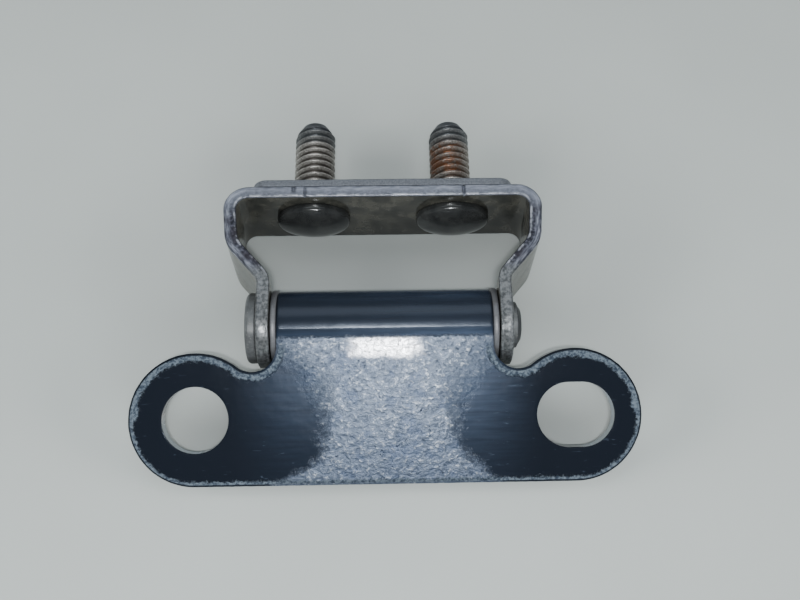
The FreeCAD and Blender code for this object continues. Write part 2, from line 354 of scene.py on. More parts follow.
class Paint:
    """Short names for building a node material. Inputs are numbers, tuples or sockets."""

    def __init__(self, name):
        self.material = bpy.data.materials.new(name)
        self.material.use_nodes = True
        self.tree = self.material.node_tree
        self.tree.nodes.clear()
        self.shader = self.tree.nodes.new("ShaderNodeBsdfPrincipled")
        output = self.tree.nodes.new("ShaderNodeOutputMaterial")
        self.tree.links.new(self.shader.outputs[0], output.inputs["Surface"])

    def feed(self, socket, value):
        if isinstance(value, bpy.types.NodeSocket):
            self.tree.links.new(value, socket)
        else:
            socket.default_value = value

    def add(self, kind, inputs, **settings):
        node = self.tree.nodes.new(kind)
        for key, value in settings.items():
            setattr(node, key, value)
        for key, value in inputs.items():
            self.feed(node.inputs[key], value)
        return node

    def set(self, **values):
        for key, value in values.items():
            self.feed(self.shader.inputs[key.replace("_", " ")], value)

    def attribute(self, name):
        return self.add("ShaderNodeAttribute", {}, attribute_name=name)

    def place(self):
        """Position in the row frame, in millimetres."""
        node = self.add("ShaderNodeTexCoord", {})
        return self.add("ShaderNodeVectorMath", {0: node.outputs["Object"], 1: (1000.0,) * 3},
                        operation="MULTIPLY").outputs[0]

    def parts(self, vector):
        return self.add("ShaderNodeSeparateXYZ", {0: vector}).outputs

    def vector(self, x, y, z):
        return self.add("ShaderNodeCombineXYZ", {0: x, 1: y, 2: z}).outputs[0]

    def math(self, operation, a, b=0.0, c=0.0, clamp=False):
        return self.add("ShaderNodeMath", {0: a, 1: b, 2: c}, operation=operation,
                        use_clamp=clamp).outputs[0]

    def band(self, value, low, high, out_low=0.0, out_high=1.0, smooth=True):
        """value taken from low..high to out_low..out_high, clamped."""
        node = self.add("ShaderNodeMapRange", {0: value, 1: low, 2: high, 3: out_low, 4: out_high},
                        interpolation_type="SMOOTHSTEP" if smooth else "LINEAR")
        return node.outputs[0]

    def grain(self, vector, scale, detail=3.0, roughness=0.55, distortion=0.0, shift=0.0):
        """Noise from 0 to 1 at scale features per millimetre."""
        if shift:
            vector = self.add("ShaderNodeVectorMath", {0: vector, 1: (shift, shift * 0.7, -shift)},
                              operation="ADD").outputs[0]
        node = self.add("ShaderNodeTexNoise", {"Vector": vector, "Scale": scale, "Detail": detail,
                                               "Roughness": roughness, "Distortion": distortion})
        return node.outputs[0]

    def cells(self, vector, scale, randomness=1.0, feature="F1"):
        node = self.add("ShaderNodeTexVoronoi", {"Vector": vector, "Scale": scale,
                                                 "Randomness": randomness}, feature=feature)
        return node.outputs["Distance"]

    def stretch(self, vector, x, y, z):
        return self.add("ShaderNodeVectorMath", {0: vector, 1: (x, y, z)}, operation="MULTIPLY").outputs[0]

    def mix(self, factor, a, b):
        node = self.add("ShaderNodeMix", {}, data_type="RGBA")
        self.feed(node.inputs[0], factor)
        self.feed(node.inputs[6], a)
        self.feed(node.inputs[7], b)
        return node.outputs[2]

    def blend(self, factor, a, b):
        node = self.add("ShaderNodeMix", {}, data_type="FLOAT")
        self.feed(node.inputs[0], factor)
        self.feed(node.inputs[2], a)
        self.feed(node.inputs[3], b)
        return node.outputs[0]

    def curve(self, value, points):
        """Float curve through (x, y) points, all between 0 and 1."""
        node = self.add("ShaderNodeFloatCurve", {"Value": value})
        line = node.mapping.curves[0]
        for point, (x, y) in zip(line.points, (points[0], points[-1])):
            point.location = (x, y)
        for x, y in points[1:-1]:
            line.points.new(x, y)
        node.mapping.update()
        return node.outputs[0]

    def bump(self, height, depth_mm, strength=1.0):
        """Normal from a height of 0 to 1 that stands depth_mm."""
        node = self.add("ShaderNodeBump", {"Height": height, "Distance": depth_mm * MM,
                                           "Strength": strength})
        self.feed(self.shader.inputs["Normal"], node.outputs[0])
        return node.outputs[0]


# ---------------------------------------------------------------- materials

def leaf_paint():
    p = Paint("leaf_paint")
    flat = p.attribute("flat").outputs["Vector"]
    x, s, h = p.parts(flat)[:3]
    edge = p.attribute("edge").outputs["Fac"]
    rim = p.attribute("rim").outputs["Fac"]
    d = p.math("MULTIPLY", s, -1.0)
    top = p.band(h, 0.6, 0.9)
    off = p.math("ABSOLUTE", x)

    broad = p.grain(flat, 0.16, 3.0, 0.6)
    ragged = p.grain(flat, 0.8, 5.0, 0.7, shift=7.0)
    fine = p.grain(p.stretch(flat, 0.8, 1.0, 1.0), 2.0, 3.0, 0.65, distortion=0.5, shift=3.0)
    hammer = p.grain(p.stretch(flat, 0.7, 1.0, 1.0), 0.9, 2.0, 0.5, distortion=0.8, shift=41.0)
    pits = p.cells(p.stretch(flat, 1.0, 1.0, 0.3), 1.5)

    # Half-widths of the worn middle against distance down the leaf, in units of 30 mm
    down = p.math("DIVIDE", d, 28.0, clamp=True)
    left = p.curve(down, [(0, 0.70), (0.12, 0.62), (0.3, 0.45), (0.5, 0.385), (0.78, 0.40),
                          (0.88, 0.50), (0.95, 0.66), (1, 0.72)])
    right = p.curve(down, [(0, 0.72), (0.15, 0.60), (0.35, 0.46), (0.5, 0.41), (0.72, 0.44),
                           (0.86, 0.54), (0.95, 0.66), (1, 0.70)])
    side = p.math("GREATER_THAN", x, 0.0)
    half = p.math("MULTIPLY", p.blend(side, left, right), 30.0)
    wander = p.math("MULTIPLY", p.math("SUBTRACT", broad, 0.5), 5.0)
    tatter = p.math("MULTIPLY", p.math("SUBTRACT", ragged, 0.5), 5.5)
    inward = p.math("ADD", p.math("ADD", p.math("SUBTRACT", half, off), wander), tatter)
    softness = p.band(d, 5.0, 17.0, 8.0, 2.0)
    worn_side = p.band(p.math("DIVIDE", inward, softness), -0.6, 0.9)
    start = p.math("ADD", d, p.math("MULTIPLY", p.math("SUBTRACT", ragged, 0.5), 1.6))
    worn = p.math("MULTIPLY", worn_side, p.band(start, 1.35, 1.9))
    worn = p.math("MULTIPLY", worn, top)

    # Chalky band that follows the outline, with a torn inner border; its extra width near the knuckle is
    # partly painted sheen on the upper lobes
    tear = p.math("MULTIPLY", p.math("SUBTRACT", p.grain(flat, 1.3, 5.0, 0.75, shift=11.0), 0.5), 2.2)
    kink = p.band(p.math("ABSOLUTE", p.math("SUBTRACT", d, 14.2)), 0.0, 1.9, 0.75, 0.0, smooth=False)
    kink = p.math("MULTIPLY", kink, p.band(off, 40.0, 42.0))
    reach = p.math("ADD", p.math("ADD", edge, tear), p.math("MULTIPLY", kink, -1.0))
    # Wider near the knuckle: partly a broader chalky band, partly painted sheen
    width = p.blend(p.band(d, 8.0, 20.0), 1.55, 1.0)
    chalk = p.math("MULTIPLY", p.band(p.math("SUBTRACT", width, reach), -0.15, 0.25),
                   p.band(edge, 0.28, 0.46))
    chalk = p.math("MULTIPLY", p.math("MULTIPLY", chalk, top), p.band(d, 2.2, 4.2))

    # Paint: near-black gloss on the lobes, satin blue between them and the middle. The satin share grows
    # towards the middle and the top: partly a satin finish, partly painted sheen of the lamp near the
    # camera.
    gloss = srgb(17, 21, 28)
    satin = p.mix(p.band(x, -12.0, 12.0), srgb(35, 45, 60), srgb(48, 59, 76))
    satin_and_sheen = p.math("MULTIPLY", p.band(off, 28.0, 14.0), p.band(d, 27.0, 7.0, 0.15, 1.0))
    brushed = p.grain(p.stretch(flat, 0.12, 1.6, 1.0), 0.9, 3.0, 0.6, shift=29.0)
    satin_and_sheen = p.math("MULTIPLY", satin_and_sheen, p.band(brushed, 0.25, 0.7, 0.55, 1.0))
    colour = p.mix(satin_and_sheen, gloss, satin)
    barrel = p.math("MULTIPLY", p.band(s, -1.5, 1.0), p.band(s, 7.0, 3.0))
    colour = p.mix(p.math("MULTIPLY", barrel, 0.8), colour, srgb(14, 18, 25))

    # Worn metal: blue-grey base, pale flecks, round dark spots, and painted falloff of the lamp's sheen that
    # darkens it further down the leaf
    tone = p.math("ADD", p.math("MULTIPLY", hammer, 0.35), p.math("MULTIPLY", fine, 0.65))
    worn_colour = p.mix(p.band(tone, 0.30, 0.66), srgb(58, 66, 79), srgb(104, 114, 128))
    flecks = p.math("MULTIPLY", p.band(fine, 0.56, 0.66), p.band(hammer, 0.40, 0.55))
    worn_colour = p.mix(p.math("MULTIPLY", flecks, 0.7), worn_colour, srgb(176, 183, 191))
    # Darker further down the leaf: painted falloff of the lamp's sheen
    worn_colour = p.mix(p.band(d, 8.0, 27.0, 0.0, 0.42), worn_colour, srgb(36, 46, 64))
    spots = p.band(pits, 0.12, 0.30, 1.0, 0.0)
    chosen = p.band(p.grain(flat, 0.5, 1.0, 0.5, shift=53.0), 0.60, 0.68)
    spots = p.math("MULTIPLY", spots, chosen)
    worn_colour = p.mix(p.math("MULTIPLY", spots, 0.75), worn_colour, srgb(38, 46, 62))
    blot = p.band(p.grain(flat, 0.3, 2.0, 0.5, shift=23.0), 0.50, 0.72)
    smear_x = p.math("DIVIDE", p.math("ADD", x, 7.5), 4.2)
    smear_d = p.math("DIVIDE", p.math("SUBTRACT", d, 6.2), 1.7)
    smear = p.math("ADD", p.math("MULTIPLY", smear_x, smear_x), p.math("MULTIPLY", smear_d, smear_d))
    smear = p.band(p.math("ADD", smear, p.math("MULTIPLY", ragged, 1.2)), 1.7, 0.5, 0.0, 0.7)
    blot = p.math("MAXIMUM", blot, smear)
    worn_colour = p.mix(p.math("MULTIPLY", blot, 0.45), worn_colour, srgb(58, 70, 92))
    colour = p.mix(worn, colour, worn_colour)
    chalk_colour = p.mix(p.band(p.grain(flat, 2.2, 4.0, 0.7, shift=17.0), 0.38, 0.62), srgb(38, 47, 58),
                         srgb(92, 103, 113))
    colour = p.mix(p.math("MULTIPLY", chalk, 0.85), colour, chalk_colour)

    # Light scratches in the flat part's paint
    lines = p.grain(p.stretch(flat, 0.35, 2.6, 1.0), 0.8, 2.0, 0.5, distortion=1.6, shift=61.0)
    faint = p.math("MULTIPLY", top, p.band(d, 2.0, 5.0, 0.0, 0.3))
    lines = p.math("MULTIPLY", p.band(lines, 0.69, 0.76), faint)
    colour = p.mix(lines, colour, srgb(76, 88, 104))

    # Bare metal on the walls of the holes, near-white only in a crescent on one side: a painted highlight
    wall = p.math("MULTIPLY", p.band(rim, 0.25, 0.02), p.band(h, 1.2, 1.0))
    low = p.math("ADD", s, LOBE_D)
    left_x = p.math("MULTIPLY", p.math("ADD", x, LOBE_X), -0.6)
    right_x = p.math("MULTIPLY", p.math("SUBTRACT", x, LOBE_X), 0.9)
    to_left = p.math("SUBTRACT", left_x, p.math("MULTIPLY", low, 0.8))
    to_right = p.math("SUBTRACT", right_x, p.math("MULTIPLY", low, 0.3))
    # Painted highlight: bright on the lower left of the round hole and the right of the slot
    lit_crescent = p.band(p.blend(side, to_left, to_right), 1.5, 4.5, 0.15, 1.0)
    bare_and_highlight = p.math("MULTIPLY", wall, lit_crescent)
    colour = p.mix(bare_and_highlight, colour, srgb(206, 203, 196))

    # Near-white patch high in the worn middle: smoother metal with a painted glint of the lamp near the
    # camera
    level = p.math("ABSOLUTE", p.math("SUBTRACT", d, p.math("ADD", 2.4, p.math("MULTIPLY", ragged, 2.2))))
    polish_and_glint = p.math("MULTIPLY", p.band(level, 2.2, 0.9),
                    p.band(p.math("ADD", off, p.math("MULTIPLY", hammer, 5.0)), 10.0, 6.0))
    colour = p.mix(p.math("MULTIPLY", p.math("MULTIPLY", polish_and_glint, worn), 0.8), colour, srgb(226, 229, 235))
    rough = p.blend(worn, p.blend(satin_and_sheen, 0.15, 0.24), p.blend(fine, 0.26, 0.46))
    rough = p.blend(p.math("MULTIPLY", polish_and_glint, worn), rough, 0.19)
    barrel_rough = p.band(s, -0.5, 1.5)
    rough = p.blend(barrel_rough, rough, 0.27)
    rough = p.blend(chalk, rough, 0.7)
    rough = p.blend(bare_and_highlight, rough, 0.28)
    metal = p.math("MAXIMUM", p.math("MULTIPLY", worn, 0.6), bare_and_highlight)
    relief = p.math("ADD", p.math("MULTIPLY", hammer, 0.9), p.math("MULTIPLY", fine, 0.5))
    relief = p.math("SUBTRACT", relief, p.math("MULTIPLY", spots, 0.5))
    relief = p.math("MULTIPLY", relief, p.blend(p.math("MAXIMUM", worn, chalk), 0.03, 1.0))
    step = p.math("MULTIPLY", p.math("MAXIMUM", worn, chalk), 0.5)
    relief = p.math("ADD", p.math("ADD", relief, step), p.math("MULTIPLY", broad, 0.5))
    relief = p.math("ADD", relief, p.band(d, 0.1, 1.5, 1.3, 0.0, smooth=False))
    p.set(Base_Color=colour, Roughness=rough, Metallic=metal)
    p.bump(relief, 0.14)
    p.set(Specular_IOR_Level=p.blend(p.band(s, -0.6, -0.1), 0.16, 0.5))
    p.set(Specular_Tint=srgb(222, 236, 255))
    return p.material


def strap_paint():
    p = Paint("bracket_paint")
    flat = p.attribute("flat").outputs["Vector"]
    place = p.place()
    h = p.parts(flat)[2]
    edge = p.attribute("edge").outputs["Fac"]
    broad = p.grain(flat, 0.22, 3.0, 0.6)
    fine = p.grain(flat, 1.9, 3.0, 0.6, shift=5.0)
    drawn = p.grain(p.stretch(flat, 0.5, 1.0, 3.0), 1.1, 3.0, 0.6, shift=15.0)
    wall = p.band(edge, 0.42, 0.22)

    # Faces of the strap: dark olive film, mottled, glossy
    mottle = p.band(p.grain(flat, 0.3, 4.0, 0.6, shift=13.0), 0.35, 0.7)
    face = p.mix(mottle, srgb(30, 31, 29), srgb(56, 56, 51))
    dust = p.band(p.grain(place, 0.45, 4.0, 0.65, shift=2.0), 0.5, 0.8)
    face = p.mix(p.math("MULTIPLY", dust, 0.3), face, srgb(90, 90, 84))

    # Sheared edge: a smooth half and a torn half across the thickness, and a bright line at the inner corner
    # that is partly a burr and partly a painted highlight
    across = p.band(h, -0.25, 0.35)
    steel = p.mix(p.band(drawn, 0.36, 0.66), srgb(76, 79, 90), srgb(158, 163, 176))
    torn = p.mix(p.band(fine, 0.40, 0.72), srgb(40, 42, 50), srgb(98, 100, 112))
    steel = p.mix(p.math("MULTIPLY", across, 0.8), torn, steel)
    arm = p.band(p.parts(place)[1], -4.0, -8.0)
    dirt = p.math("MULTIPLY", p.band(broad, 0.40, 0.68), p.blend(arm, 0.35, 0.75))
    steel = p.mix(dirt, steel, srgb(58, 55, 62))
    steel = p.mix(p.blend(arm, 0.32, 0.0), steel, srgb(168, 176, 190))
    # Near-white line at the inner corner: bare burr with a painted highlight
    burr_and_highlight = p.math("MULTIPLY", p.band(h, -0.55, -0.75), p.band(h, -1.1, -0.95))
    burr_and_highlight = p.math("MULTIPLY", burr_and_highlight, p.band(p.grain(flat, 0.5, 4.0, 0.7, shift=33.0), 0.42, 0.6))
    steel = p.mix(p.math("MULTIPLY", burr_and_highlight, 0.6), steel, srgb(204, 209, 218))
    ear = p.band(p.parts(place)[1], -17.0, -20.0)
    dusty = p.mix(p.band(fine, 0.35, 0.65), srgb(86, 90, 91), srgb(132, 136, 137))
    steel = p.mix(p.math("MULTIPLY", ear, 0.8), steel, dusty)
    colour = p.mix(wall, face, steel)
    rough = p.blend(wall, p.blend(mottle, 0.14, 0.26), p.blend(drawn, 0.26, 0.44))
    metal = p.math("MULTIPLY", wall, 0.8)
    relief = p.math("ADD", p.math("MULTIPLY", fine, p.blend(wall, 0.1, 0.9)), p.math("MULTIPLY", broad, 0.8))
    p.set(Base_Color=colour, Roughness=rough, Metallic=metal)
    p.bump(relief, 0.045)
    return p.material


def spacer_paint():
    p = Paint("spacer_paint")
    flat = p.attribute("flat").outputs["Vector"]
    edge = p.attribute("edge").outputs["Fac"]
    broad = p.grain(flat, 0.25, 3.0, 0.6)
    fine = p.grain(flat, 3.2, 3.0, 0.7, shift=9.0)
    face = p.mix(p.band(broad, 0.3, 0.7), srgb(44, 46, 50), srgb(70, 72, 75))
    worn = p.mix(p.band(fine, 0.3, 0.72), srgb(76, 80, 86), srgb(108, 114, 122))
    wall = p.band(edge, 0.5, 0.2)
    colour = p.mix(wall, face, worn)
    p.set(Base_Color=colour, Roughness=p.blend(wall, 0.4, 0.5), Metallic=p.math("MULTIPLY", wall, 0.4))
    p.bump(p.math("ADD", fine, broad), 0.04)
    return p.material


def stud_steel(name, rust):
    p = Paint(name)
    place = p.place()
    x, y = p.parts(place)[:2]
    radial = p.attribute("depth").outputs["Fac"]
    broad = p.grain(place, 0.35, 3.0, 0.6)
    fine = p.grain(place, 3.0, 3.0, 0.7, shift=4.0)
    thread = p.band(y, -0.5, 0.0)
    steel = p.mix(p.band(fine, 0.35, 0.7), srgb(132, 130, 126), srgb(190, 189, 185))
    # Thread roots darkened: painted shade in the grooves
    steel = p.mix(p.math("MULTIPLY", p.band(radial, 0.35, 0.75), 0.85), steel, srgb(58, 54, 50))
    if rust:
        spots = p.band(p.grain(place, 0.55, 4.0, 0.65, shift=19.0), 0.40, 0.58)
        lower = p.math("MULTIPLY", p.band(y, 2.6, 5.0), p.band(y, 12.5, 10.0))
        left = p.band(x, STUD_X + 3.2, STUD_X + 0.4)
        share = p.math("MULTIPLY", p.math("MULTIPLY", spots, left), lower)
        steel = p.mix(p.math("MULTIPLY", lower, 0.35), steel, srgb(98, 82, 70))
        orange = p.mix(fine, srgb(98, 60, 38), srgb(150, 98, 62))
        steel = p.mix(p.math("MULTIPLY", share, 0.7), steel, orange)
    film = p.mix(fine, srgb(58, 64, 70), srgb(96, 103, 108))
    steel = p.mix(p.math("MULTIPLY", p.band(y, STUD_TIP - 6.5, STUD_TIP - 3.5), 0.75), steel, film)
    tip = p.band(y, STUD_TIP - 2.0, STUD_TIP - 1.2)
    steel = p.mix(tip, steel, p.mix(fine, srgb(44, 48, 56), srgb(70, 74, 82)))
    head = p.mix(p.band(broad, 0.3, 0.7), srgb(44, 46, 47), srgb(62, 64, 64))
    colour = p.mix(thread, head, steel)
    metal = p.blend(thread, 0.6, 0.8)
    rough = p.blend(thread, 0.14, 0.42)
    p.set(Base_Color=colour, Roughness=rough, Metallic=metal)
    p.bump(p.math("ADD", p.math("MULTIPLY", fine, p.blend(thread, 0.1, 0.7)), broad), 0.04)
    return p.material


def pin_paint():
    p = Paint("pin_steel")
    place = p.place()
    broad = p.grain(place, 0.3, 3.0, 0.6)
    fine = p.grain(place, 3.0, 3.0, 0.7, shift=4.0)
    colour = p.mix(p.band(broad, 0.3, 0.7), srgb(66, 69, 71), srgb(94, 98, 100))
    colour = p.mix(p.math("MULTIPLY", p.band(fine, 0.55, 0.75), 0.4), colour, srgb(150, 150, 146))
    # Peened end darkened: partly its black paint, partly painted dark reflection of the surroundings
    end = p.band(p.parts(place)[0], EAR_INNER + STRAP_T + 0.95, EAR_INNER + STRAP_T + 1.1)
    colour = p.mix(end, colour, srgb(30, 32, 36))
    p.set(Base_Color=colour, Roughness=p.blend(broad, 0.35, 0.5), Metallic=0.35)
    p.bump(p.math("ADD", p.math("MULTIPLY", fine, 0.4), broad), 0.05)
    return p.material


def bush_metal():
    p = Paint("bush_metal")
    place = p.place()
    fine = p.grain(place, 2.6, 3.0, 0.6)
    broad = p.grain(place, 0.4, 2.0, 0.5, shift=6.0)
    colour = p.mix(fine, srgb(84, 86, 90), srgb(120, 122, 126))
    colour = p.mix(p.band(broad, 0.55, 0.75), colour, srgb(96, 96, 96))
    p.set(Base_Color=colour, Roughness=p.blend(fine, 0.35, 0.5), Metallic=0.6)
    p.bump(fine, 0.03)
    return p.material


def floor_paint():
    p = Paint("floor_paint")
    place = p.place()
    soft = p.grain(place, 0.02, 3.0, 0.5)
    p.set(Base_Color=p.mix(soft, srgb(156, 163, 162), srgb(168, 175, 174)), Roughness=0.6)
    return p.material


# ---------------------------------------------------------------- the pieces

def make_leaf():
    curl = math.radians(CURL_DEG) * NEUTRAL_R
    neck_x = KNUCKLE_HALF + NECK_R
    neck_s = math.sqrt((LOBE_R + NECK_R) ** 2 - (LOBE_X - neck_x) ** 2) - LOBE_D
    to_lobe = math.degrees(math.atan2(-LOBE_D - neck_s, LOBE_X - neck_x))
    corner = 1.0
    right = joined(
        line_points((0, curl), (KNUCKLE_HALF - corner, curl), 0.5),
        arc_points((KNUCKLE_HALF - corner, curl - corner), corner, 90, 0, 0.15),
        line_points((KNUCKLE_HALF, curl - corner), (KNUCKLE_HALF, neck_s), 0.3),
        arc_points((neck_x, neck_s), NECK_R, 180, 360 + to_lobe, 0.25),
        arc_points((LOBE_X, -LOBE_D), LOBE_R, 180 + to_lobe, -90, 0.25),
        line_points((LOBE_X, -LEAF_REACH), (0, -LEAF_REACH), 0.3),
    )
    left = right[::-1] * (-1, 1)
    outer = joined(right.tolist(), left.tolist())
    hole = joined(arc_points((-LOBE_X, -LOBE_D), HOLE_R, 0, 360, 0.25))
    half = (SLOT_L - SLOT_W) / 2
    slot = joined(
        arc_points((LOBE_X + half, -LOBE_D), SLOT_W / 2, -90, 90, 0.25),
        arc_points((LOBE_X - half, -LOBE_D), SLOT_W / 2, 90, 270, 0.25),
    )

    def bend(flat):
        x, s, h = flat.T
        radius = NEUTRAL_R + h
        angle = math.pi / 2 - np.maximum(s, 0) / NEUTRAL_R
        along = radius * np.cos(angle) + np.minimum(s, 0)
        up = radius * np.sin(angle)
        c, q = math.cos(DROOP), math.sin(DROOP)
        return np.column_stack([x, along * c - up * q + PIN_Y, along * q + up * c])

    def wall(loop, normal, height, inset, number):
        if number:
            return np.zeros(len(loop))
        return np.array([0.04 + 0.03 * noise.noise(Vector((p[0] * 0.8, p[1] * 0.8, height))) for p in loop])

    vertices, faces, flat, edge, rim = sheet(outer, [hole, slot], LEAF_T, 0.42, 0.12, 0.6, bend, wall)
    return new_piece("leaf_formed", vertices, faces, "leaf", "leaf_side", leaf_paint(),
                     [("flat", flat), ("edge", edge), ("rim", rim)])


def strap_path():
    """Middle line of the bent strap from the left ear's tip to the right ear's, with distances along it."""
    t = STRAP_T / 2
    inner = [(BACK_INNER, BACK_REACH), (JOG_INNER, JOG_END), (EAR_INNER, JOG_START), (EAR_INNER, -EAR_R)]
    inner = [(-x, y) for x, y in reversed(inner)] + inner
    inner = [np.array(p) for p in inner]
    normals = []
    for a, b in zip(inner, inner[1:]):
        run = (b - a) / np.linalg.norm(b - a)
        normals.append(np.array([-run[1], run[0]]))
    middle = [inner[0] + normals[0] * t]
    for point, before, after in zip(inner[1:-1], normals, normals[1:]):
        middle.append(point + (before + after) * (t / (1 + before @ after)))
    middle.append(inner[-1] + normals[-1] * t)
    arm = [JOG_START_BEND + t, JOG_END_BEND + t, CORNER_BEND + t]
    radii = [0] + arm + arm[::-1] + [0]
    path = [tuple(middle[0])]
    for index in range(1, 7):
        here = middle[index]
        before = middle[index - 1] - here
        after = middle[index + 1] - here
        before = before / np.linalg.norm(before)
        after = after / np.linalg.norm(after)
        half = math.acos(np.clip(before @ after, -1, 1)) / 2
        setback = radii[index] / math.tan(half)
        centre = here + (before + after) / np.linalg.norm(before + after) * radii[index] / math.sin(half)
        u = here + before * setback - centre
        v = here + after * setback - centre
        turn = math.acos(np.clip(u @ v / radii[index] ** 2, -1, 1))
        for share in np.linspace(0, 1, 40):
            w = (u * math.sin((1 - share) * turn) + v * math.sin(share * turn)) / math.sin(turn)
            path.append(tuple(centre + w))
    path.append(tuple(middle[-1]))
    path = np.array(dense(path, 0.2))
    lengths = np.concatenate([[0], np.cumsum(np.linalg.norm(np.diff(path, axis=0), axis=1))])
    return path, lengths


def make_bracket():
    path, lengths = strap_path()
    total = lengths[-1]
    tangent = np.gradient(path, lengths, axis=0)
    tangent /= np.linalg.norm(tangent, axis=1)[:, None]

    def bend(flat):
        s, w, h = flat.T
        x = np.interp(s, lengths, path[:, 0])
        y = np.interp(s, lengths, path[:, 1])
        tx = np.interp(s, lengths, tangent[:, 0])
        ty = np.interp(s, lengths, tangent[:, 1])
        size = np.hypot(tx, ty)
        return np.column_stack([x - ty / size * h, y + tx / size * h + PIN_Y, w])

    half = STRAP_W / 2
    taper = EAR_R + EAR_TAPER
    outer = joined(
        arc_points((EAR_R, 0), EAR_R, 90, 270, 0.3),
        line_points((EAR_R, -EAR_R), (taper, -half), 0.3),
        line_points((taper, -half), (total - taper, -half), 0.2),
        line_points((total - taper, -half), (total - EAR_R, -EAR_R), 0.3),
        arc_points((total - EAR_R, 0), EAR_R, -90, 90, 0.3),
        line_points((total - EAR_R, EAR_R), (total - taper, half), 0.3),
        line_points((total - taper, half), (taper, half), 0.12),
        line_points((taper, half), (EAR_R, EAR_R), 0.3),
    )
    holes = [joined(arc_points((s, 0), PIN_R, 0, 360, 0.3)) for s in (EAR_R, total - EAR_R)]
    holes += [joined(arc_points((total / 2 + x, 0), SHANK_R, 0, 360, 0.3)) for x in (-STUD_X, STUD_X)]

    # Shear marks on the upper edge: place along the back wall, width, depth, and height band
    nicks = [(-16.5, 0.30, 0.38, 0.0, 1.2), (-14.4, 0.14, 0.5, -1.2, 0.5), (15.0, 0.16, 0.55, -1.2, 1.2)]

    def wall(loop, normal, height, inset, number):
        if number:
            return np.zeros(len(loop))
        rough = np.array([noise.noise(Vector((p[0] * 0.9, p[1] * 0.9, height * 1.5 + 40))) for p in loop])
        depth = 0.05 + 0.06 * rough
        if inset < 0.01 and height < 0.0:
            fine = np.array([noise.noise(Vector((p[0] * 3.1, p[1] * 3.1, height * 3 + 9))) for p in loop])
            depth = depth + 0.05 + 0.05 * fine
        fade = max(0.0, 1 - inset / 0.6)
        for place, width, deep, low, high in nicks:
            if low <= height <= high:
                near = np.exp(-((loop[:, 0] - total / 2 - place) / width) ** 2) * (loop[:, 1] > 0)
                depth = depth + near * deep
        return depth * fade

    vertices, faces, flat, edge, rim = sheet(outer, holes, STRAP_T, 0.34, 0.34, 0.9, bend, wall)
    return new_piece("bracket_strap", vertices, faces, "bracket", "bracket_side",
                     strap_paint(), [("flat", flat), ("edge", edge), ("rim", rim)])


def make_spacer():
    half_length, half_width, r = SPACER_L / 2, STRAP_W / 2, SPACER_CORNER
    outer = joined(
        arc_points((half_length - r, half_width - r), r, 0, 90, 0.2),
        line_points((half_length - r, half_width), (-half_length + r, half_width), 0.3),
        arc_points((-half_length + r, half_width - r), r, 90, 180, 0.2),
        arc_points((-half_length + r, -half_width + r), r, 180, 270, 0.2),
        line_points((-half_length + r, -half_width), (half_length - r, -half_width), 0.3),
        arc_points((half_length - r, -half_width + r), r, 270, 360, 0.2),
    )
    holes = [joined(arc_points((x, 0), SPACER_HOLE_R, 0, 360, 0.3)) for x in (-STUD_X, STUD_X)]

    def bend(flat):
        x, w, h = flat.T
        return np.column_stack([x, h - SPACER_T / 2, w])

    def wall(loop, normal, height, inset, number):
        if number:
            return np.zeros(len(loop))
        rough = np.array([noise.noise(Vector((p[0] * 0.7, p[1] * 0.7, height + 70))) for p in loop])
        return (0.06 + 0.06 * rough) * max(0.0, 1 - inset / 0.5)

    vertices, faces, flat, edge, rim = sheet(outer, holes, SPACER_T, 0.24, 0.1, 1.2, bend, wall)
    return new_piece("spacer_strip", vertices, flipped(faces), "spacer_plate", "bracket_side",
                     spacer_paint(), [("flat", flat), ("edge", edge), ("rim", rim)])


def thread_depth(y, angle):
    """How far below the crest a 5/16-18 UNC thread lies: 0 on the crest, 1 at the root."""
    phase = (y / PITCH - angle / (2 * math.pi)) % 1.0
    ridge = abs(phase - 0.5) * 2
    return min(1.0, max(0.0, (ridge - 0.14) / 0.72))


